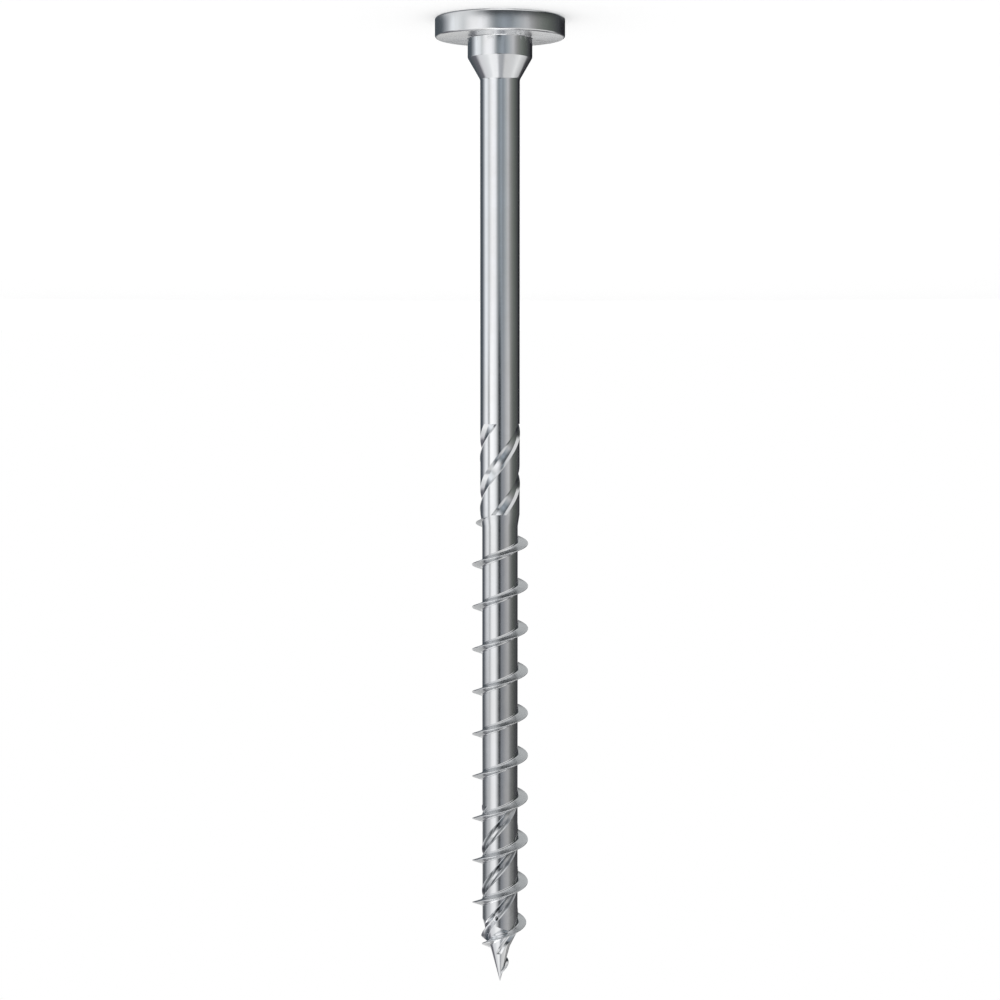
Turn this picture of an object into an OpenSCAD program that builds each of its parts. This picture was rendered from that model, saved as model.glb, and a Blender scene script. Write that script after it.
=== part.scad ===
// Washer-head wood screw, nominal 8 x 140 mm, zinc-plated steel, in one piece.
// It stands on its wide flat head with the point up. The origin is the centre of
// the head's outer face, and +Z runs along the axis to the point.
// Below the head come a collar, a cone, a smooth shank, a fluted reaming length
// that frees the shank's hole, and a coarse right-hand thread with a sharp point.

/* [Overall] */
// Length from the head's outer face to the point
screw_length = 140; // [120:1:220]

/* [Head] */
// Diameter of the washer head
head_d = 18.7; // [14:0.1:24]
// Thickness of the washer head
head_t = 3; // [1.6:0.1:4]
// Radius of the two rounded edges of the rim
rim_edge_r = 0.4; // [0.1:0.05:0.7]

/* [Drive recess] */
// Width of the six-lobe recess across its lobes
drive_d = 6.7; // [5:0.1:8]
// How far each lobe stands out past the hollows between the lobes
drive_lobe = 0.95; // [0.5:0.05:1.2]
// Depth of the recess's straight walls
drive_depth = 3.2; // [2:0.1:4]
// Width of the bevel round the mouth of the recess
drive_bevel = 0.25; // [0.1:0.05:0.5]
// Depth of the cone at the bottom of the recess
drive_cone = 0.8; // [0.3:0.1:1]

/* [Collar] */
// Diameter of the collar under the head
collar_d = 9.3; // [8.2:0.1:11]
// Height of the collar
collar_h = 2.75; // [2:0.05:5]
// Half angle of the cone that leads from the collar to the shank
neck_angle = 30; // [20:1:45]

/* [Shank] */
// Diameter of the smooth shank
shank_d = 5.7; // [5.4:0.01:6.4]
// Radius of the fillet where the cone meets the shank
neck_fillet = 0.8; // [0.3:0.1:1.5]

/* [Reaming flutes] */
// Length of the fluted part
ream_length = 13.1; // [9:0.1:20]
// Diameter over the lands between the flutes
ream_d = 5.68; // [5.3:0.01:6.4]
// Number of flutes
ream_flutes = 3; // [2:1:4]
// Rise of a flute in one full turn
ream_lead = 22.1; // [15:0.1:40]
// Depth of a flute
ream_depth = 0.5; // [0.2:0.05:0.7]
// Angle that a flute takes up round the shank
ream_width = 44; // [25:1:55]
// How far a flute's deepest line lies off its middle, as a share of its width
ream_skew = 0.24; // [0:0.02:0.36]

/* [Thread] */
// Length from the end of the flutes to the point
thread_length = 68.6; // [50:0.1:90]
// Diameter over the thread's crest
thread_d = 8.16; // [7.4:0.01:9]
// Diameter of the core between the turns
core_d = 5.18; // [4.6:0.01:5.3]
// Rise of the thread in one full turn
pitch = 6.2; // [4.5:0.01:8]
// Width of the flank that faces the head, along the axis
head_flank = 0.72; // [0.4:0.01:1]
// Width of the flank that faces the point, along the axis
point_flank = 0.62; // [0.3:0.01:1]
// Height at which the hollow flanks bend, as a share of the thread's height
bend_height = 0.26; // [0.15:0.01:0.6]
// Width of a flank outside its bend, as a share of the flank's width
bend_width = 0.48; // [0.3:0.01:0.8]
// Width of the crest, along the axis
crest_w = 0.06; // [0.04:0.01:0.2]
// Length over which the thread rises from the core at its head end
runout_length = 2; // [1:0.1:4]
// Length over which the shank's radius tapers down to the core
core_taper = 1.7; // [0.5:0.1:3]

/* [Core grooves] */
// Length from the point to where the grooves start
groove_length = 26.1; // [15:0.1:40]
// Length from the point to where the grooves end
groove_stop = 4.2; // [3.5:0.1:8]
// Number of grooves round the core
groove_starts = 3; // [2:1:4]
// Depth of a groove
groove_depth = 0.38; // [0.1:0.02:0.5]
// Width of a groove, along the axis
groove_w = 1.8; // [1:0.05:2.4]
// Width of a groove's floor, along the axis
groove_floor_w = 0.5; // [0.2:0.05:0.9]

/* [Point] */
// Length over which the crest runs in to the point
nose_length = 9.5; // [7:0.1:14]
// Length from the point to the middle of the core's shoulder edge
shoulder_length = 8.4; // [7:0.1:12]
// How far the shoulder's edge lies nearer to the head on one side than in the middle
shoulder_slant = 0.98; // [0:0.02:1.2]
// Length of the slender cone that ends in the point
needle_length = 5.2; // [4:0.1:6]
// Diameter of the slender cone at its root
needle_d = 2.9; // [1.8:0.05:3.4]

/* [Hidden] */

head_r = head_d / 2;
collar_r = collar_d / 2;
shank_r = shank_d / 2;
core_r = core_d / 2;
thread_r = thread_d / 2;
needle_r = needle_d / 2;
ream_r = ream_d / 2;

// The threaded end starts this far inside the fluted part, a little narrower than its lands
seat_lap = 0.06;
seat_step = 0.03;
seat_r = ream_r - seat_step;

// Heights of the sections above the head's outer face
collar_top = head_t + collar_h;
neck_top = collar_top + (collar_r - shank_r) / tan(neck_angle);
thread_z = screw_length - thread_length;
seat_z = thread_z - seat_lap;
ream_z = thread_z - ream_length;
taper_z = thread_z + core_taper;
nose_z = screw_length - nose_length;
needle_z = screw_length - needle_length;
groove_z = screw_length - groove_length;
groove_end_z = screw_length - groove_stop;

// Full height of the thread, and how sharply the crest bends in to the point
thread_h = thread_r - core_r;
nose_power = 1.22;

// Columns of facets round the thread, and turns from the point to the first crest
// and the first groove at angle 0
sides = 48;
crest_turn = 0.88;
groove_turn = 1;
turns = ceil(thread_length / pitch) + 1;

// Angle of a flute's middle at the head end of the flutes, and facets along them
ream_angle = -58;
ream_slices = 28;
land_facets = 14;

function limit(value, low, high) = min(max(value, low), high);

function sorted(list) = len(list) < 2 ? list : let (
    pivot = list[floor(len(list) / 2)],
    below = [for (value = list) if (value < pivot) value],
    equal = [for (value = list) if (value == pivot) value],
    above = [for (value = list) if (value > pivot) value]
) concat(sorted(below), equal, sorted(above));

// Angle of a column of facets. Column 0 and the last one are the same line.
function column_angle(i) = 360 * (i % sides) / sides;

// Height at which turn k of the crest, counted from the point, passes column i
function crest_z(i, k) = screw_length - pitch * ((k * sides - i) / sides + crest_turn);

// Height at which the middle of groove m passes column i
function groove_mid_z(i, m) =
    screw_length - pitch * ((m * sides - groove_starts * i) / sides + groove_turn);

// The core's shoulder starts on a slant, nearer to the head at angle 0
function shoulder_z(i) =
    screw_length - shoulder_length - shoulder_slant * cos(column_angle(i));

// Radius of the core without its grooves
function core_radius(i, z) =
    z < taper_z ? seat_r + (core_r - seat_r) * limit((z - thread_z) / core_taper, 0, 1) :
    z < shoulder_z(i) ? core_r :
    z < needle_z ? core_r + (needle_r - core_r) * (z - shoulder_z(i)) / (needle_z - shoulder_z(i)) :
    needle_r * (screw_length - z) / needle_length;

// How far the crest stands above the core: it rises at the head end of the thread
// and bends in to meet the point
function crest_height(i, z) =
    let (
        rise = limit((z - thread_z) / runout_length, 0, 1),
        run_in = limit((z - nose_z) / nose_length, 0, 1),
        crest_r = thread_r * (1 - pow(run_in, nose_power))
    ) rise * max(crest_r - core_radius(i, z), 0);

// Depth of a groove at a distance along the axis from its middle
function groove_cut(offset) =
    groove_depth * limit((groove_w / 2 - abs(offset)) / ((groove_w - groove_floor_w) / 2), 0, 1);

// Distance along the axis from a point on the core to the nearest groove's middle
function groove_offset(i, z) =
    let (past = (screw_length - z) / pitch - groove_turn + groove_starts * i / sides)
    (past - round(past)) * pitch;

// Radius of the grooved core
function floor_radius(i, z) =
    let (cut = z >= groove_z && z <= groove_end_z ? groove_cut(groove_offset(i, z)) : 0)
    core_radius(i, z) - cut * limit(core_radius(i, z) / core_r, 0, 1);

function on_column(i, r, z) = [r * cos(column_angle(i)), r * sin(column_angle(i)), z];

// Points of the core between turn k of the thread and the next one towards the point
function core_points(i, k, low, high) =
    let (
        first = ceil((screw_length - low) / pitch - groove_turn + groove_starts * i / sides - 0.5),
        mid = groove_mid_z(i, first),
        edges = [mid - groove_w / 2, mid - groove_floor_w / 2, mid + groove_floor_w / 2, mid + groove_w / 2],
        cut_edges = [for (z = edges) z < groove_z || z > groove_end_z ? low : z],
        bends = [taper_z, shoulder_z(i), needle_z]
    ) [for (z = sorted([for (v = concat(cut_edges, bends)) limit(v, low, high)]))
        on_column(i, floor_radius(i, z), z)];

// Point of the thread at a share of its height above the core
function ridge_point(i, height, share) =
    let (z = limit(height, seat_z, screw_length))
    on_column(i, core_radius(i, z) + crest_height(i, z) * share, z);

// Points of one turn of the thread, and of the core up to the next turn
function turn_points(i, k) =
    let (
        mid = crest_z(i, k),
        next = crest_z(i, k - 1),
        share = crest_height(i, limit(mid, seat_z, screw_length)) / thread_h,
        next_share = crest_height(i, limit(next, seat_z, screw_length)) / thread_h,
        half = crest_w / 2 * limit(share * 2, 0, 1),
        next_half = crest_w / 2 * limit(next_share * 2, 0, 1),
        root_low = limit(mid - half - head_flank * share, seat_z, screw_length),
        root_high = limit(mid + half + point_flank * share, seat_z, screw_length),
        next_low = limit(next - next_half - head_flank * next_share, seat_z, screw_length)
    ) concat(
        [
            on_column(i, floor_radius(i, root_low), root_low),
            ridge_point(i, mid - half - head_flank * share * bend_width, bend_height),
            ridge_point(i, mid - half, 1),
            ridge_point(i, mid + half, 1),
            ridge_point(i, mid + half + point_flank * share * bend_width, bend_height),
            on_column(i, floor_radius(i, root_high), root_high)
        ],
        core_points(i, k, root_high, next_low)
    );

// One line of points from the thread's head end to the point of the screw
function column_points(i) = [for (k = [turns : -1 : -1]) each turn_points(i, k)];

// Exact round solids: washer head, collar, cone, fillet and smooth shank
module head_and_shank() {
    rotate_extrude($fn = 96) {
        square([head_r - rim_edge_r, head_t]);
        translate([0, rim_edge_r]) square([head_r, head_t - 2 * rim_edge_r]);
        translate([head_r - rim_edge_r, rim_edge_r]) circle(rim_edge_r, $fn = 32);
        translate([head_r - rim_edge_r, head_t - rim_edge_r]) circle(rim_edge_r, $fn = 32);
    }
    cylinder(h = collar_top, r = collar_r, $fn = 96);
    translate([0, 0, collar_top])
        cylinder(h = neck_top - collar_top, r1 = collar_r, r2 = shank_r, $fn = 96);
    cylinder(h = ream_z, r = shank_r, $fn = 96);
    neck_fillet_ring();
}

// Ring that fills the corner between the cone and the shank with a round fillet
module neck_fillet_ring() {
    reach = neck_fillet * tan(neck_angle / 2);
    rotate_extrude($fn = 96) difference() {
        polygon([
            [shank_r - neck_fillet / 4, neck_top + reach],
            [shank_r - neck_fillet / 4, neck_top - reach],
            [shank_r + reach * sin(neck_angle), neck_top - reach * cos(neck_angle)],
            [shank_r, neck_top + reach]
        ]);
        translate([shank_r + neck_fillet, neck_top + reach]) circle(neck_fillet, $fn = 96);
    }
}

// Six-lobe drive recess, cut into the head's outer face
module drive_recess() {
    outline = [for (a = [0 : 5 : 355]) (drive_d / 2 - drive_lobe / 2 * (1 - cos(6 * a)))
        * [cos(a), sin(a)]];
    hollow_r = drive_d / 2 - drive_lobe;
    translate([0, 0, -1]) linear_extrude(drive_depth + 1) polygon(outline);
    translate([0, 0, drive_depth]) cylinder(h = drive_cone, r1 = hollow_r, r2 = 0.2, $fn = 64);
    translate([0, 0, -drive_bevel])
        cylinder(h = 2 * drive_bevel, r1 = drive_d / 2 + 2 * drive_bevel, r2 = drive_d / 2, $fn = 64);
}

// Cross-section of the reaming part: a round with one sharp notch for each flute,
// steep on one side and flat on the other
module ream_section() {
    step = 360 / ream_flutes;
    land = step - ream_width;
    polygon([for (f = [0 : ream_flutes - 1]) each concat(
        [for (n = [0 : land_facets]) ream_r * unit(f * step + ream_width / 2 + land * n / land_facets)],
        [(ream_r - ream_depth) * unit((f + 1) * step - ream_width * ream_skew)]
    )]);
}

function unit(angle) = [cos(angle), sin(angle)];

// Right-hand flutes that end square at both ends
module reaming_flutes() {
    translate([0, 0, ream_z]) rotate(ream_angle)
        linear_extrude(ream_length, twist = -360 * ream_length / ream_lead, slices = ream_slices)
            ream_section();
}

// Thread, grooved core and point as one closed surface that follows the helix
module threaded_end() {
    columns = [for (i = [0 : sides]) column_points(i)];
    rows = len(columns[0]);
    points = [for (column = columns) each column];
    skin = [for (i = [0 : sides - 1], j = [0 : rows - 2]) each
        let (a = i * rows + j, b = a + rows)
        [[a, a + 1, b], [a + 1, b + 1, b]]];
    cap = [for (i = [0 : sides - 1]) i * rows];
    polyhedron(
        points,
        concat(
            [for (f = skin) if (points[f[0]] != points[f[1]] && points[f[1]] != points[f[2]]
                && points[f[2]] != points[f[0]]) f],
            [cap]
        )
    );
}

module screw() {
    color("silver") {
        difference() {
            head_and_shank();
            drive_recess();
        }
        reaming_flutes();
        threaded_end();
    }
}

screw();
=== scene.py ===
import bpy, bmesh
from math import atan2, ceil, cos, degrees, hypot, pi, radians, sin, tan
from mathutils import Matrix, Vector


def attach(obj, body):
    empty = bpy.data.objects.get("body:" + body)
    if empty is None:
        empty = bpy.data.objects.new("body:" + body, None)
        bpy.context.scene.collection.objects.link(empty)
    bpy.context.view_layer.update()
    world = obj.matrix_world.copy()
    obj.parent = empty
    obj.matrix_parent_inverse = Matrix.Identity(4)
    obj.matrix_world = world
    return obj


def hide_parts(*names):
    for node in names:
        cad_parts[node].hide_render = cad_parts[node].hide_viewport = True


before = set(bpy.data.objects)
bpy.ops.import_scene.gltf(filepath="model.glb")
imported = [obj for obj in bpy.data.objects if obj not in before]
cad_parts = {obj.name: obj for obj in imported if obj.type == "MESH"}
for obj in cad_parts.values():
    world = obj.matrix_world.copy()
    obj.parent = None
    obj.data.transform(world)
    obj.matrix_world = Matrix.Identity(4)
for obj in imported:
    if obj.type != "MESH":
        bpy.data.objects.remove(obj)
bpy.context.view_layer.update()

mm = 0.001
near = 1e-4  # mm within which a vertex counts as lying on a ring
print("frame loaded:", sorted(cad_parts))


# Small helpers; shapes are drawn in millimetres and brought to metres at the end

def storeShading(mesh, sharpAngle):
    # keeps the smooth normals of a clean shape, so that the booleans carry them along
    mesh.polygons.foreach_set("use_smooth", [True] * len(mesh.polygons))
    mesh.set_sharp_from_angle(angle=radians(sharpAngle))
    kept = mesh.attributes.new("shade", "FLOAT_VECTOR", "CORNER")
    for item, corner in zip(kept.data, mesh.corner_normals):
        item.vector = corner.vector


def newObject(name, bm, sharpAngle=None):
    mesh = bpy.data.meshes.new(name)
    bm.to_mesh(mesh)
    bm.free()
    if sharpAngle:
        storeShading(mesh, sharpAngle)
    obj = bpy.data.objects.new(name, mesh)
    bpy.context.scene.collection.objects.link(obj)
    return obj


def addLoop(bm, points, closed):
    verts = [bm.verts.new(p) for p in points]
    edges = [bm.edges.new(pair) for pair in zip(verts, verts[1:])]
    if closed:
        edges.append(bm.edges.new((verts[-1], verts[0])))
    return verts + edges


def windUp(bm, points, rise, turned, steps):
    # sweeps a closed section up a right-hand helix
    bmesh.ops.spin(bm, geom=addLoop(bm, points, closed=True), cent=(0, 0, 0), axis=(0, 0, 1),
                   dvec=(0, 0, rise / steps), angle=turned, steps=steps)


def closeUp(bm):
    bmesh.ops.holes_fill(bm, edges=[e for e in bm.edges if e.is_boundary], sides=0)
    bmesh.ops.recalc_face_normals(bm, faces=bm.faces)


def bevelRings(bm, rings, segments):
    # rounds the circular edges that lie at the given radius and height
    for radius, height, offset in rings:
        picked = [e for e in bm.edges if all(
            abs(v.co.z - height) < near and abs(hypot(v.co.x, v.co.y) - radius) < near
            for v in e.verts)]
        bmesh.ops.bevel(bm, geom=picked, offset=offset, affect="EDGES", segments=segments,
                        profile=0.5, material=-1)


def boolean(obj, cutter, operation):
    mod = obj.modifiers.new(cutter.name, "BOOLEAN")
    mod.operation = operation
    mod.solver = "MANIFOLD"
    mod.object = cutter
    bpy.context.view_layer.update()
    depsgraph = bpy.context.evaluated_depsgraph_get()
    result = bpy.data.meshes.new_from_object(obj.evaluated_get(depsgraph))
    obj.modifiers.clear()
    old = obj.data
    obj.data = result
    bpy.data.meshes.remove(old)
    bpy.data.objects.remove(cutter, do_unlink=True)


# Screw blank: a turned profile of head, collar, cone, shank, core and point

screw = dict(
    length=140, headDiameter=18.7, headThickness=3.0, rimRadius=0.4,
    collarDiameter=9.3, collarHeight=2.75, collarRoot=0.15, collarEdge=0.12,
    neckAngle=30, neckFillet=0.8,
    shankDiameter=5.7, threadLength=68.6, reamLength=13.1,
    pitch=6.2, coreDiameter=5.18, coreTaper=1.7, shoulderLength=8.4, shoulderSlant=0.98,
    needleLength=5.2, needleDiameter=2.9, tipRadius=0.06, tipLength=0.12, steps=160,
)
pitch = screw["pitch"]
threadStart = screw["length"] - screw["threadLength"]
reamStart = threadStart - screw["reamLength"]
coreRadius = screw["coreDiameter"] / 2
shankRadius = screw["shankDiameter"] / 2
collarTop = screw["headThickness"] + screw["collarHeight"]


def coreRadiusAt(angle, z):
    # radius of the core in mm, at an angle in radians and a height in mm
    s = screw
    shoulder = s["length"] - s["shoulderLength"] - s["shoulderSlant"] * cos(angle)
    needle = s["length"] - s["needleLength"]
    needleRadius = s["needleDiameter"] / 2
    if z < threadStart + s["coreTaper"]:
        share = max(z - threadStart, 0) / s["coreTaper"]
        return shankRadius + (coreRadius - shankRadius) * share
    if z < shoulder:
        return coreRadius
    if z < needle:
        return coreRadius + (needleRadius - coreRadius) * (z - shoulder) / (needle - shoulder)
    return needleRadius * (s["length"] - z) / s["needleLength"]


def makeBlank():
    s = screw
    headRadius, collarRadius = s["headDiameter"] / 2, s["collarDiameter"] / 2
    neckTop = collarTop + (collarRadius - shankRadius) / tan(radians(s["neckAngle"]))
    shoulder = s["length"] - s["shoulderLength"]
    needle = s["length"] - s["needleLength"]
    profile = [
        (0, 0), (headRadius, 0), (headRadius, s["headThickness"]),
        (collarRadius, s["headThickness"]), (collarRadius, collarTop),
        (shankRadius, neckTop), (shankRadius, threadStart),
        (coreRadius, threadStart + s["coreTaper"]), (coreRadius, shoulder),
        (s["needleDiameter"] / 2, needle), (s["tipRadius"], s["length"] - s["tipLength"]),
        (0, s["length"]),
    ]
    bm = bmesh.new()
    geom = addLoop(bm, [(r, 0, z) for r, z in profile], closed=False)
    bmesh.ops.spin(bm, geom=geom, cent=(0, 0, 0), axis=(0, 0, 1), angle=2 * pi,
                   steps=s["steps"], use_merge=True)
    bmesh.ops.remove_doubles(bm, verts=bm.verts, dist=1e-5)
    bmesh.ops.recalc_face_normals(bm, faces=bm.faces)
    bevelRings(bm, [(headRadius, 0, s["rimRadius"]),
                    (headRadius, s["headThickness"], s["rimRadius"])], segments=5)
    bevelRings(bm, [(collarRadius, s["headThickness"], s["collarRoot"]),
                    (collarRadius, collarTop, s["collarEdge"])], segments=3)
    filletWidth = s["neckFillet"] * tan(radians(s["neckAngle"] / 2))
    bevelRings(bm, [(shankRadius, neckTop, filletWidth)], segments=6)
    for v in bm.verts:
        if abs(v.co.z - shoulder) < near:
            v.co.z -= s["shoulderSlant"] * cos(atan2(v.co.y, v.co.x))
    return newObject("screwBody", bm, sharpAngle=15)


body = makeBlank()
print("blank turned:", len(body.data.polygons), "faces")


# Helical cutters for the reaming flutes and for the grooves of the core

flutes = dict(
    count=3, lead=22.1, angle=-58, width=44, depth=0.5,
    # floor of a flute: angle from its middle, share of the depth
    floor=[(10, 1), (3, 0.95), (-6, 0.82), (-15, 0.62)],
    burrHeight=0.05, burrWidth=6, burrShift=1, stepsPerTurn=150,
)
grooves = dict(
    count=3, lead=3 * pitch, angle=0, width=1.8, floor=0.5, depth=0.38,
    burrHeight=0.06, burrWidth=6, burrShift=1, length=26.1, stop=4.2, stepsPerTurn=120,
)
cutter = dict(reach=0.6, clearance=1.2)  # how far the walls and the top stand past the surface


def polar(radius, angle):
    return Vector((radius * cos(radians(angle)), radius * sin(radians(angle)), 0))


def past(inner, outer):
    # carries a cutter's wall on in a straight line past the surface
    return outer + (outer - inner).normalized() * cutter["reach"]


def helixBar(bm, section, start, end, lead, turnAt, stepsPerTurn):
    # bar between two heights, which starts turned by an angle in degrees
    turned = Matrix.Rotation(radians(turnAt), 3, "Z")
    points = [turned @ p + Vector((0, 0, start)) for p in section]
    steps = ceil((end - start) / lead * stepsPerTurn)
    windUp(bm, points, end - start, 2 * pi * (end - start) / lead, steps)


def burrSection(radius, height, width):
    # low rounded swelling that the rolled edge of a groove leaves on the surface:
    # share of the width, share of the height; its two feet lie 0.1 mm inside the steel
    side = [(0.5, -0.1), (0.34, 0.1), (0.15, 0.75)]
    shape = side + [(0, 1)] + [(-share, rise) for share, rise in reversed(side)]
    return [polar(radius + (height * rise if rise > 0 else rise), width * share)
            for share, rise in shape]


def cutFlutes():
    f = flutes
    half = f["width"] / 2
    floor = [polar(shankRadius - f["depth"] * share, angle) for angle, share in f["floor"]]
    top = shankRadius + cutter["clearance"]
    section = [past(floor[0], polar(shankRadius, half)), *floor,
               past(floor[-1], polar(shankRadius, -half)),
               polar(top, -half / 2), polar(top, half / 2)]
    cuts, burrs = bmesh.new(), bmesh.new()
    burr = burrSection(shankRadius, f["burrHeight"], f["burrWidth"])
    for n in range(f["count"]):
        turned = f["angle"] + n * 360 / f["count"]
        helixBar(cuts, section, reamStart, threadStart, f["lead"], turned, f["stepsPerTurn"])
        helixBar(burrs, burr, reamStart, threadStart, f["lead"],
                 turned - half - f["burrShift"], f["stepsPerTurn"])
    closeUp(burrs)
    boolean(body, newObject("fluteBurrs", burrs, sharpAngle=35), "UNION")
    closeUp(cuts)
    boolean(body, newObject("fluteCutter", cuts, sharpAngle=12), "DIFFERENCE")


def followCore(bm):
    # draws bars that were swept round the full core in to its shoulder and point
    for v in bm.verts:
        share = coreRadiusAt(atan2(v.co.y, v.co.x), v.co.z) / coreRadius
        v.co.x *= share
        v.co.y *= share
    closeUp(bm)


def cutGrooves():
    g = grooves
    degree = 360 / g["lead"]
    half, flat = g["width"] / 2 * degree, g["floor"] / 2 * degree
    low, high = screw["length"] - g["length"], screw["length"] - g["stop"]
    deep = coreRadius - g["depth"]
    section = [past(polar(deep, flat), polar(coreRadius, half)), polar(deep, flat),
               polar(deep, -flat), past(polar(deep, -flat), polar(coreRadius, -half)),
               polar(coreRadius + cutter["clearance"], 0)]
    burr = burrSection(coreRadius, g["burrHeight"], g["burrWidth"])
    cuts, burrs = bmesh.new(), bmesh.new()
    for n in range(g["count"]):
        # one groove's middle passes angle 0 at the point of the screw
        turned = (low - screw["length"]) * degree + g["angle"] + n * 360 / g["count"]
        helixBar(cuts, section, low, high, g["lead"], turned, g["stepsPerTurn"])
        for side in (half + g["burrShift"], -half - g["burrShift"]):
            helixBar(burrs, burr, low, high, g["lead"], turned + side, g["stepsPerTurn"])
    followCore(burrs)
    boolean(body, newObject("grooveBurrs", burrs, sharpAngle=35), "UNION")
    followCore(cuts)
    boolean(body, newObject("grooveCutter", cuts, sharpAngle=12), "DIFFERENCE")


cutFlutes()
cutGrooves()
print("flutes and grooves cut:", len(body.data.polygons), "faces")


# Short cutting edge that stands on the shoulder, where a groove runs out

fin = dict(
    start=-75, peak=0, end=55, low=130.2, lead=15, height=0.92, width=0.5, edge=0.06,
    rootDepth=0.3, sink=0.02, falloff=1.3, steps=60,
)


def addFin():
    f = fin
    half, sharp = f["width"] / 2, f["edge"] / 2
    # drawn 1 mm high, and brought to its height further down
    section = [(coreRadius - f["rootDepth"], -half), (coreRadius, -half),
               (coreRadius + 1, -sharp), (coreRadius + 1, sharp),
               (coreRadius, half), (coreRadius - f["rootDepth"], half)]
    sweep = f["end"] - f["start"]
    points = [(*polar(r, f["start"]).xy, f["low"] + w) for r, w in section]
    bm = bmesh.new()
    windUp(bm, points, f["lead"] * sweep / 360, radians(sweep), f["steps"])
    for v in bm.verts:
        angle = atan2(v.co.y, v.co.x)
        away = degrees(angle) - f["peak"]
        reach = f["end"] - f["peak"] if away > 0 else f["peak"] - f["start"]
        height = f["height"] * max(1 - abs(away) / reach, 0) ** f["falloff"]
        above = hypot(v.co.x, v.co.y) - coreRadius
        radius = coreRadiusAt(angle, v.co.z) + above * (height if above > 0 else 1) - f["sink"]
        v.co.x, v.co.y = radius * cos(angle), radius * sin(angle)
    closeUp(bm)
    boolean(body, newObject("shoulderFin", bm, sharpAngle=75), "UNION")


addFin()
print("cutting edge set on the shoulder:", len(body.data.polygons), "faces")


# Thread: one ridge that winds from the flutes to the point

thread = dict(
    diameter=8.16, headFlank=0.7, pointFlank=0.68, crest=0.04,
    # hollow of the flanks and round of the crest: share of the height, share of the width
    hollow=[(0.03, 0.78), (0.07, 0.66), (0.12, 0.59), (0.28, 0.45), (0.92, 0.13), (0.95, 0.115),
            (0.978, 0.09), (0.993, 0.055)],
    # how deep its foot lies in the core, how far the foot spreads, how far the skirt sinks
    rootDepth=0.35, spread=0.1, sink=0.03,
    runout=2, startLap=0.2, endGap=0.7, crestTurn=0.88, noseLength=9.5, nosePower=1.22,
    leastWidth=0.15, crestFrom=0.5, stepsPerTurn=96,
)
threadRadius = thread["diameter"] / 2


def crestHeightAt(angle, z):
    # how far the crest stands out of the core, in mm
    t = thread
    rise = min(max((z - threadStart) / t["runout"], 0), 1)
    runIn = min(max((z - screw["length"] + t["noseLength"]) / t["noseLength"], 0), 1)
    crest = threadRadius * (1 - runIn ** t["nosePower"])
    return rise * max(crest - coreRadiusAt(angle, z), 0)


def addThread():
    t = thread
    full = threadRadius - coreRadius
    feet = [coreRadius - t["rootDepth"], coreRadius - t["sink"]]
    section = [(r, -t["headFlank"] - t["spread"]) for r in feet]
    section += [(coreRadius + h * full, -w * t["headFlank"]) for h, w in t["hollow"]]
    section += [(threadRadius, -t["crest"] / 2), (threadRadius, t["crest"] / 2)]
    section += [(coreRadius + h * full, w * t["pointFlank"]) for h, w in reversed(t["hollow"])]
    section += [(r, t["pointFlank"] + t["spread"]) for r in reversed(feet)]
    first = threadStart + t["startLap"]
    last = screw["length"] - t["endGap"]
    startAngle = 2 * pi * ((first - screw["length"]) / pitch + t["crestTurn"])
    steps = ceil((last - first) / pitch * t["stepsPerTurn"])
    points = [(r * cos(startAngle), r * sin(startAngle), first + w) for r, w in section]
    bm = bmesh.new()
    windUp(bm, points, last - first, 2 * pi * (last - first) / pitch, steps)
    for v in bm.verts:
        # the ridge gets lower and narrower together, and its foot follows the core
        angle = atan2(v.co.y, v.co.x)
        above = hypot(v.co.x, v.co.y) - coreRadius
        turns = (v.co.z - screw["length"]) / pitch + t["crestTurn"] - angle / (2 * pi)
        offset = (turns - round(turns)) * pitch
        crestZ = v.co.z - offset
        share = crestHeightAt(angle, crestZ) / full
        z = crestZ + offset * max(share, t["leastWidth"])
        core = coreRadiusAt(angle, crestZ if above > t["crestFrom"] else z)
        if above > 0:
            radius = core - t["sink"] + (above + t["sink"]) * share
        else:
            radius = core + above * core / coreRadius
        v.co = Vector((radius * cos(angle), radius * sin(angle), z))
    closeUp(bm)
    boolean(body, newObject("threadRidge", bm, sharpAngle=75), "UNION")


addThread()
print("thread wound on:", len(body.data.polygons), "faces")


# Six-lobe drive recess in the head's outer face

recess = dict(width=6.7, lobes=6, lobe=0.95, depth=3.2, bevel=0.25, cone=0.8, reach=1, steps=144)


def cutRecess():
    r = recess
    bm = bmesh.new()
    for depth, grow in ((r["depth"], 0), (r["bevel"], 0), (0, r["bevel"]),
                        (-r["reach"], r["bevel"] + r["reach"])):
        bmesh.ops.create_circle(bm, segments=r["steps"], radius=1)
        for v in bm.verts[-r["steps"]:]:
            angle = atan2(v.co.y, v.co.x)
            radius = r["width"] / 2 - r["lobe"] / 2 * (1 - cos(r["lobes"] * angle)) + grow
            v.co = Vector((radius * cos(angle), radius * sin(angle), depth))
    bmesh.ops.bridge_loops(bm, edges=bm.edges[:])
    closeUp(bm)
    low = [f for f in bm.faces if all(abs(v.co.z - r["depth"]) < near for v in f.verts)]
    poked = bmesh.ops.poke(bm, faces=low)["verts"]
    bmesh.ops.translate(bm, verts=poked, vec=(0, 0, r["cone"]))
    boolean(body, newObject("recessCutter", bm, sharpAngle=20), "DIFFERENCE")


cutRecess()
print("recess cut:", len(body.data.polygons), "faces")


# Clean-up of the body, its size in metres and its smooth normals

cleanUp = dict(weld=3e-5, sliver=1e-5)


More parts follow.
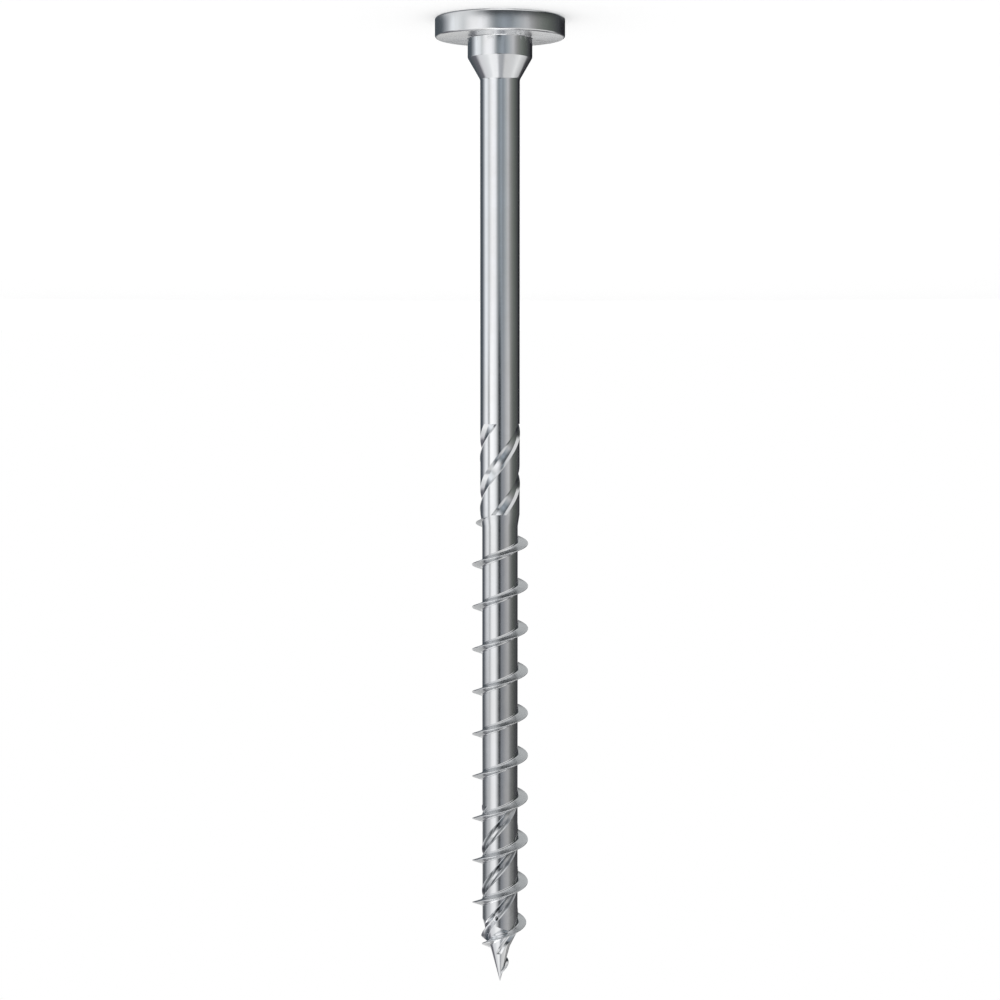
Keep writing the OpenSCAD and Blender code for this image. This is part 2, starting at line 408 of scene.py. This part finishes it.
def cleanBody():
    bm = bmesh.new()
    bm.from_mesh(body.data)
    bmesh.ops.remove_doubles(bm, verts=bm.verts, dist=cleanUp["weld"])
    bmesh.ops.dissolve_degenerate(bm, edges=bm.edges, dist=cleanUp["sliver"])
    bmesh.ops.triangulate(bm, faces=[f for f in bm.faces if len(f.verts) > 4])
    # slivers that the booleans leave where two surfaces pinch at an edge
    bmesh.ops.collapse(bm, edges=[e for e in bm.edges if not e.is_manifold])
    bmesh.ops.delete(bm, geom=[e for e in bm.edges if e.is_wire], context="EDGES")
    bmesh.ops.recalc_face_normals(bm, faces=bm.faces)
    print("open edges:", sum(not e.is_manifold for e in bm.edges))
    bmesh.ops.scale(bm, verts=bm.verts, vec=(mm, mm, mm))
    bm.to_mesh(body.data)
    bm.free()


def smoothBody():
    # gives the stored normals back, turned to the outside
    mesh = body.data
    mesh.polygons.foreach_set("use_smooth", [True] * len(mesh.polygons))
    kept = mesh.attributes["shade"]
    normals = [None] * len(mesh.loops)
    for face in mesh.polygons:
        for n in face.loop_indices:
            normal = Vector(kept.data[n].vector)
            normals[n] = normal if normal.dot(face.normal) > 0 else -normal
    mesh.normals_split_custom_set(normals)
    mesh.attributes.remove(mesh.attributes["shade"])


cleanBody()
smoothBody()


# Shader maths: values that act as numbers and add nodes

class Value:
    def __init__(self, nodes, socket):
        self.nodes, self.socket = nodes, socket

    def math(self, operation, *others):
        return self.nodes.add("ShaderNodeMath", dict(operation=operation), self, *others)

    def __add__(self, other):
        return self.math("ADD", other)

    def __radd__(self, other):
        return self.math("ADD", other)

    def __mul__(self, other):
        return self.math("MULTIPLY", other)

    def __rmul__(self, other):
        return self.math("MULTIPLY", other)

    def __sub__(self, other):
        return self.math("SUBTRACT", other)

    def __rsub__(self, other):
        return (self * -1).math("ADD", other)

    def __truediv__(self, other):
        return self.math("DIVIDE", other)

    def step(self, low, high):
        # 0 below low, 1 above high, smooth between
        return self.nodes.add("ShaderNodeMapRange", dict(interpolation_type="SMOOTHSTEP"),
                              self, low, high, 0.0, 1.0)


class Nodes:
    def __init__(self, tree):
        self.tree = tree
        tree.nodes.clear()

    def add(self, kind, settings=None, *values, out=0, **named):
        node = self.tree.nodes.new(kind)
        for name, value in (settings or {}).items():
            if name == "stops":
                ramp = node.color_ramp
                while len(ramp.elements) > 1:
                    ramp.elements.remove(ramp.elements[-1])
                for n, (place, colour) in enumerate(value):
                    stop = ramp.elements[0] if n == 0 else ramp.elements.new(place)
                    stop.position, stop.color = place, (*colour, 1)
            else:
                setattr(node, name, value)
        for key, value in [*enumerate(values), *named.items()]:
            if isinstance(key, str):
                name = key.replace("_", " ")
                socket = next(i for i in node.inputs if i.enabled and i.name == name)
            else:
                socket = node.inputs[key]
            if isinstance(value, Value):
                self.tree.links.new(value.socket, socket)
            elif value is not None:
                socket.default_value = value
        return Value(self, node.outputs[out]) if node.outputs else None


def noise(nodes, vector, scale, detail=2.0, rough=0.5):
    return nodes.add("ShaderNodeTexNoise", dict(noise_dimensions="3D"), Vector=vector, Scale=scale,
                     Detail=detail, Roughness=rough)


def stretched(nodes, vector, scale):
    return nodes.add("ShaderNodeMapping", dict(vector_type="POINT"), Vector=vector, Scale=scale)


# Bright zinc plating over rolled steel

zinc = dict(
    colour=(0.86, 0.87, 0.885), warm=(0.80, 0.80, 0.79), flankColour=(0.66, 0.675, 0.685),
    # the dark colour and its strength below paint shade into the grooves' walls
    grooveShadeColour=(0.25, 0.26, 0.27), grooveShadeStrength=0.85,
    shankRoughness=0.13, flankRoughness=0.3, faceRoughness=0.28, rimRoughness=0.18,
    drawnRoughness=0.09, mottleRoughness=0.10,
    drawnScale=2600, mottleScale=900, grainScale=5200, cloudScale=160, turningScale=9000,
    cloudTone=0.5, drawnTone=0.5, mottleTone=0.6,
    drawnRelief=0.6, mottleRelief=0.5, grainRelief=0.25, turningRelief=0.25,
    flankCalm=0.85, faceCalm=0.7, bumpStrength=0.25, bumpHeight=0.00002,
    # where a finish, the painted groove shade or the painted crest highlight sets in, in mm past the
    # radius or height that it goes by
    threadFade=(0, 1), crestFade=(-0.13, -0.06), flankFade=(0.12, 0.3),
    floorFade=(-0.36, -0.24), brinkFade=(-0.12, -0.03), grooveFade=(1, 3), pointFade=(-10, -9.4),
    undersideFade=(0.02, 0.06), rimFade=(-0.35, -0.15),
)


def fade(value, base, distances):
    # 0 before the first distance from the base, 1 after the second
    return value.step((base + distances[0]) * mm, (base + distances[1]) * mm)


def zincPlating():
    z = zinc
    mat = bpy.data.materials.new("zincPlatedSteel")
    mat.use_nodes = True
    n = Nodes(mat.node_tree)
    place = n.add("ShaderNodeTexCoord", out=3)
    x, y, height = (n.add("ShaderNodeSeparateXYZ", None, place, out=i) for i in range(3))
    radius = (x * x + y * y).math("SQRT")

    onThread = fade(height, threadStart, z["threadFade"])
    # the crest is left out of the flanks' darker colour, so its brighter colour is a painted highlight
    # along the crest; its lower roughness is a real smoother finish
    crest = fade(radius, threadRadius, z["crestFade"])
    flank = fade(radius, coreRadius, z["flankFade"]) * (1 - crest) * onThread
    # walls of the grooves, where the colour is darkened: painted shade in the grooves' hollows
    grooveShade = (fade(radius, coreRadius, z["floorFade"])
            * (1 - fade(radius, coreRadius, z["brinkFade"]))
            * fade(height, screw["length"] - grooves["length"], z["grooveFade"])
            * (1 - fade(height, screw["length"], z["pointFade"])))
    onHead = 1 - fade(height, screw["headThickness"], z["undersideFade"])
    onRim = fade(radius, screw["headDiameter"] / 2, z["rimFade"])
    face, rim = onHead * (1 - onRim), onHead * onRim

    drawn = noise(n, stretched(n, place, (1, 1, 0.012)), z["drawnScale"], 3)
    mottle = noise(n, place, z["mottleScale"], 4, 0.6)
    grain = noise(n, place, z["grainScale"], 2)
    cloud = noise(n, place, z["cloudScale"], 2)
    turning = (radius * z["turningScale"] + mottle * 2).math("SINE")

    roughness = (z["shankRoughness"] + (drawn - 0.5) * z["drawnRoughness"]
                 + (mottle - 0.5) * z["mottleRoughness"]
                 + flank * (z["flankRoughness"] - z["shankRoughness"])
                 + face * (z["faceRoughness"] - z["shankRoughness"])
                 + rim * (z["rimRoughness"] - z["shankRoughness"]))
    tone = (cloud.step(0.35, 0.7) * z["cloudTone"] + (drawn - 0.5) * z["drawnTone"]
            + (mottle - 0.5) * z["mottleTone"]).math("MAXIMUM", 0.0)
    colour = (*z["colour"], 1)
    # the last mix paints shade into the walls of the grooves
    for share, other in ((tone, "warm"), (flank, "flankColour"),
                         (grooveShade * z["grooveShadeStrength"], "grooveShadeColour")):
        colour = n.add("ShaderNodeMix", dict(data_type="RGBA"), share, out=2,
                       A=colour, B=(*z[other], 1))

    relief = (drawn * (1 - onThread) * (1 - onHead) * z["drawnRelief"]
              + (mottle * z["mottleRelief"] + grain * z["grainRelief"])
              * (1 - flank * z["flankCalm"] - face * z["faceCalm"])
              + turning * face * z["turningRelief"])
    bump = n.add("ShaderNodeBump", None, Strength=z["bumpStrength"], Distance=z["bumpHeight"],
                 Height=relief)
    shader = n.add("ShaderNodeBsdfPrincipled", None, Base_Color=colour, Metallic=1.0,
                   Roughness=roughness, Normal=bump)
    n.add("ShaderNodeOutputMaterial", None, shader)
    return mat


body.data.materials.clear()
body.data.materials.append(zincPlating())
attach(body, "root")
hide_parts("screw")
print("plated")


# Floor, studio surround and camera

studio = dict(
    floorSize=6, tentRadius=1.5, floorColour=(0.8, 0.8, 0.8), floorGlow=0.24,
    # place round the horizon (0 and 1 behind the screw, 0.5 at the camera) and the light there
    level=[
        (0.0, (0.02, 0.02, 0.024)), (0.114, (0.02, 0.02, 0.024)), (0.165, (0.065, 0.068, 0.072)),
        (0.222, (0.11, 0.12, 0.11)), (0.269, (0.165, 0.18, 0.165)), (0.311, (0.245, 0.25, 0.24)),
        (0.341, (0.36, 0.36, 0.36)), (0.367, (0.55, 0.55, 0.56)), (0.419, (0.38, 0.41, 0.43)),
        (0.452, (0.25, 0.28, 0.31)), (0.48, (0.33, 0.37, 0.41)), (0.518, (0.23, 0.26, 0.28)),
        (0.543, (0.42, 0.44, 0.46)), (0.563, (0.80, 0.81, 0.83)), (0.584, (1.0, 1.0, 1.02)),
        (0.628, (1.02, 1.02, 1.03)), (0.662, (0.84, 0.84, 0.85)), (0.687, (0.62, 0.64, 0.65)),
        (0.714, (0.84, 0.86, 0.88)), (0.758, (0.92, 0.95, 0.98)), (0.794, (0.40, 0.42, 0.45)),
        (0.842, (0.09, 0.105, 0.12)), (0.905, (0.07, 0.085, 0.10)), (1.0, (0.07, 0.085, 0.10)),
    ],
    # what takes the place of that light further up: side (1 point, -1 head), sine of the elevation
    # from which and at which it is full, and its light round the horizon
    bands=[
        (-1, 0.16, 0.26, [
            (0.0, (0.42, 0.43, 0.44)), (0.03, (0.65, 0.66, 0.66)), (0.08, (0.6, 0.61, 0.61)),
            (0.1, (0.3, 0.31, 0.32)), (0.13, (0.04, 0.045, 0.05)), (0.28, (0.05, 0.055, 0.05)),
            (0.36, (0.07, 0.075, 0.08)), (0.55, (0.05, 0.055, 0.06)), (0.6, (0.3, 0.31, 0.32)),
            (0.65, (0.65, 0.66, 0.67)), (0.72, (0.75, 0.76, 0.77)),
            (0.8, (0.62, 0.63, 0.65)), (0.86, (0.25, 0.26, 0.28)), (0.9, (0.1, 0.11, 0.12)),
            (0.95, (0.2, 0.21, 0.23)), (1.0, (0.42, 0.43, 0.44)),
        ]),
        (-1, 0.68, 0.76, [
            (0.0, (0.42, 0.43, 0.44)), (0.03, (0.62, 0.63, 0.63)), (0.09, (0.55, 0.56, 0.56)),
            (0.2, (0.45, 0.46, 0.47)), (0.3, (0.75, 0.75, 0.75)), (0.7, (0.75, 0.75, 0.75)),
            (0.8, (0.5, 0.51, 0.52)), (0.85, (0.15, 0.16, 0.18)), (0.9, (0.1, 0.11, 0.12)),
            (0.95, (0.2, 0.21, 0.23)), (1.0, (0.42, 0.43, 0.44)),
        ]),
        (-1, 0.86, 0.94, [
            (0.0, (0.3, 0.3, 0.3)), (0.1, (0.3, 0.3, 0.3)), (0.3, (0.9, 0.9, 0.9)),
            (0.7, (0.75, 0.75, 0.75)), (0.85, (0.2, 0.2, 0.21)), (1.0, (0.25, 0.25, 0.26)),
        ]),
        (-1, 0.96, 0.985, [(0.0, (1.5, 1.5, 1.5))]),
        (1, 0.10, 0.14, [
            (0.0, (0.6, 0.6, 0.6)), (0.03, (0.5, 0.5, 0.5)), (0.07, (0.03, 0.03, 0.035)),
            (0.156, (0.07, 0.072, 0.075)), (0.22, (0.09, 0.10, 0.09)), (0.272, (0.13, 0.14, 0.13)),
            (0.317, (0.26, 0.26, 0.25)), (0.355, (0.6, 0.6, 0.6)), (0.396, (0.52, 0.52, 0.53)),
            (0.433, (0.34, 0.35, 0.37)), (0.475, (0.28, 0.30, 0.33)), (0.495, (0.02, 0.025, 0.03)),
            (0.518, (0.03, 0.035, 0.04)), (0.54, (0.4, 0.41, 0.42)), (0.57, (0.85, 0.86, 0.87)),
            (0.615, (1.1, 1.1, 1.11)), (0.66, (1.15, 1.15, 1.15)), (0.69, (0.3, 0.31, 0.32)),
            (0.725, (1.0, 1.01, 1.03)), (0.76, (0.9, 0.91, 0.93)), (0.8, (0.5, 0.51, 0.53)),
            (0.85, (0.1, 0.11, 0.13)), (0.93, (0.07, 0.08, 0.09)), (0.965, (0.5, 0.5, 0.5)),
            (1.0, (0.6, 0.6, 0.6)),
        ]),
        (1, 0.21, 0.28, [
            (0.0, (0.7, 0.7, 0.7)), (0.04, (0.7, 0.7, 0.7)), (0.07, (0.05, 0.05, 0.055)),
            (0.2, (0.07, 0.07, 0.075)), (0.25, (0.1, 0.105, 0.1)), (0.3, (0.18, 0.18, 0.18)),
            (0.35, (0.36, 0.36, 0.36)), (0.4, (0.32, 0.32, 0.33)), (0.45, (0.22, 0.23, 0.25)),
            (0.48, (0.2, 0.21, 0.23)), (0.5, (0.03, 0.035, 0.04)), (0.525, (0.05, 0.055, 0.06)),
            (0.55, (0.4, 0.41, 0.42)), (0.59, (0.95, 0.95, 0.96)), (0.65, (0.85, 0.85, 0.86)),
            (0.7, (0.55, 0.56, 0.57)), (0.76, (0.35, 0.36, 0.38)), (0.82, (0.12, 0.13, 0.14)),
            (0.9, (0.1, 0.11, 0.12)), (0.94, (0.6, 0.6, 0.6)), (1.0, (0.7, 0.7, 0.7)),
        ]),
        (1, 0.3, 0.38, [
            (0.0, (0.85, 0.85, 0.85)), (0.045, (0.75, 0.75, 0.75)), (0.07, (0.15, 0.15, 0.16)),
            (0.1, (0.16, 0.16, 0.16)), (0.14, (0.4, 0.4, 0.4)), (0.2, (0.6, 0.6, 0.6)),
            (0.26, (0.85, 0.85, 0.84)), (0.33, (0.7, 0.7, 0.7)), (0.43, (0.65, 0.65, 0.65)),
            (0.46, (0.4, 0.41, 0.43)), (0.51, (0.42, 0.43, 0.45)), (0.54, (0.95, 0.95, 0.96)),
            (0.62, (1.0, 1.0, 1.0)), (0.68, (0.8, 0.81, 0.82)), (0.76, (0.7, 0.7, 0.72)),
            (0.8, (0.15, 0.15, 0.17)), (0.88, (0.12, 0.12, 0.14)), (0.92, (0.7, 0.7, 0.7)),
            (1.0, (0.7, 0.7, 0.7)),
        ]),
        (1, 0.6, 0.68, [
            (0.0, (0.5, 0.5, 0.5)), (0.04, (0.28, 0.28, 0.29)), (0.08, (0.06, 0.06, 0.07)),
            (0.16, (0.08, 0.08, 0.09)), (0.21, (0.3, 0.3, 0.3)), (0.25, (0.85, 0.85, 0.84)),
            (0.3, (0.7, 0.7, 0.7)), (0.43, (0.65, 0.65, 0.65)), (0.46, (0.38, 0.39, 0.41)),
            (0.51, (0.42, 0.43, 0.45)), (0.54, (0.95, 0.95, 0.96)), (0.62, (1.0, 1.0, 1.0)),
            (0.67, (0.8, 0.81, 0.82)), (0.76, (0.7, 0.7, 0.72)), (0.8, (0.2, 0.2, 0.22)),
            (0.84, (0.1, 0.105, 0.12)), (0.9, (0.3, 0.3, 0.31)), (0.95, (0.55, 0.55, 0.55)),
            (1.0, (0.5, 0.5, 0.5)),
        ]),
        (1, 0.9, 0.95, [
            (0.0, (0.4, 0.4, 0.4)), (0.2, (0.2, 0.2, 0.21)), (0.38, (0.3, 0.3, 0.31)),
            (0.45, (0.8, 0.8, 0.8)), (0.6, (1.0, 1.0, 1.0)), (0.68, (0.7, 0.7, 0.7)),
            (0.8, (0.2, 0.2, 0.21)), (1.0, (0.4, 0.4, 0.4)),
        ]),
        (1, 0.955, 0.98, [(0.0, (1.6, 1.6, 1.6))]),
    ],
)


def makeFloor():
    bm = bmesh.new()
    bmesh.ops.create_grid(bm, x_segments=1, y_segments=1, size=studio["floorSize"] / 2)
    floor = newObject("floor", bm)
    mat = bpy.data.materials.new("floorPaper")
    mat.use_nodes = True
    n = Nodes(mat.node_tree)
    shader = n.add("ShaderNodeBsdfPrincipled", None, Base_Color=(*studio["floorColour"], 1),
                   Roughness=0.9, Emission_Color=(1, 1, 1, 1), Emission_Strength=studio["floorGlow"])
    n.add("ShaderNodeOutputMaterial", None, shader)
    floor.data.materials.append(mat)
    floor.visible_glossy = False
    floor.visible_shadow = False


def makeWorld():
    world = bpy.data.worlds.new("studio")
    bpy.context.scene.world = world
    world.use_nodes = True
    n = Nodes(world.node_tree)
    white = n.add("ShaderNodeBackground", None, (1, 1, 1, 1), 1.0)
    n.add("ShaderNodeOutputWorld", None, white)


def makeTent():
    # grey cards of a light tent, which only show in the polished metal
    bm = bmesh.new()
    bmesh.ops.create_uvsphere(bm, u_segments=48, v_segments=24, radius=studio["tentRadius"])
    tent = newObject("tent", bm)
    mat = bpy.data.materials.new("tentCards")
    mat.use_nodes = True
    n = Nodes(mat.node_tree)
    place = n.add("ShaderNodeTexCoord", out=3)
    x, y, up = (n.add("ShaderNodeSeparateXYZ", None, place, out=i) for i in range(3))
    around = x.math("ARCTAN2", y * -1) / (2 * pi) + 0.5
    colour = n.add("ShaderNodeValToRGB", dict(stops=studio["level"]), around)
    for side, low, high, stops in studio["bands"]:
        cards = n.add("ShaderNodeValToRGB", dict(stops=stops), around)
        share = (up * (side / studio["tentRadius"])).step(low, high)
        colour = n.add("ShaderNodeMix", dict(data_type="RGBA"), share, out=2, A=colour, B=cards)
    n.add("ShaderNodeOutputMaterial", None, n.add("ShaderNodeEmission", None, colour, 1.0))
    mat.cycles.emission_sampling = "NONE"
    tent.data.materials.append(mat)
    tent.visible_camera = tent.visible_diffuse = tent.visible_shadow = tent.visible_transmission = False


# the camera's place in mm, its tilt in degrees and its lens
view = dict(distance=348.8, height=50, pitch=3.175, lens=86.66, sensor=36)


def makeCamera():
    cam = bpy.data.cameras.new("camera")
    cam.lens, cam.sensor_width = view["lens"], view["sensor"]
    cam.clip_start, cam.clip_end = 0.01, 20
    obj = bpy.data.objects.new("camera", cam)
    bpy.context.scene.collection.objects.link(obj)
    # the photograph hangs the screw point down, so the camera is held upside down
    turn = Matrix(((-1, 0, 0), (0, 0, -1), (0, -1, 0))).transposed().to_4x4()
    pitch = Matrix.Rotation(radians(view["pitch"]), 4, "X")
    place = Matrix.Translation((0, -view["distance"] * mm, view["height"] * mm))
    obj.matrix_world = place @ pitch @ turn
    bpy.context.scene.camera = obj


makeFloor()
makeWorld()
makeTent()
makeCamera()
bpy.context.scene.view_settings.view_transform = "Standard"
print("studio ready")
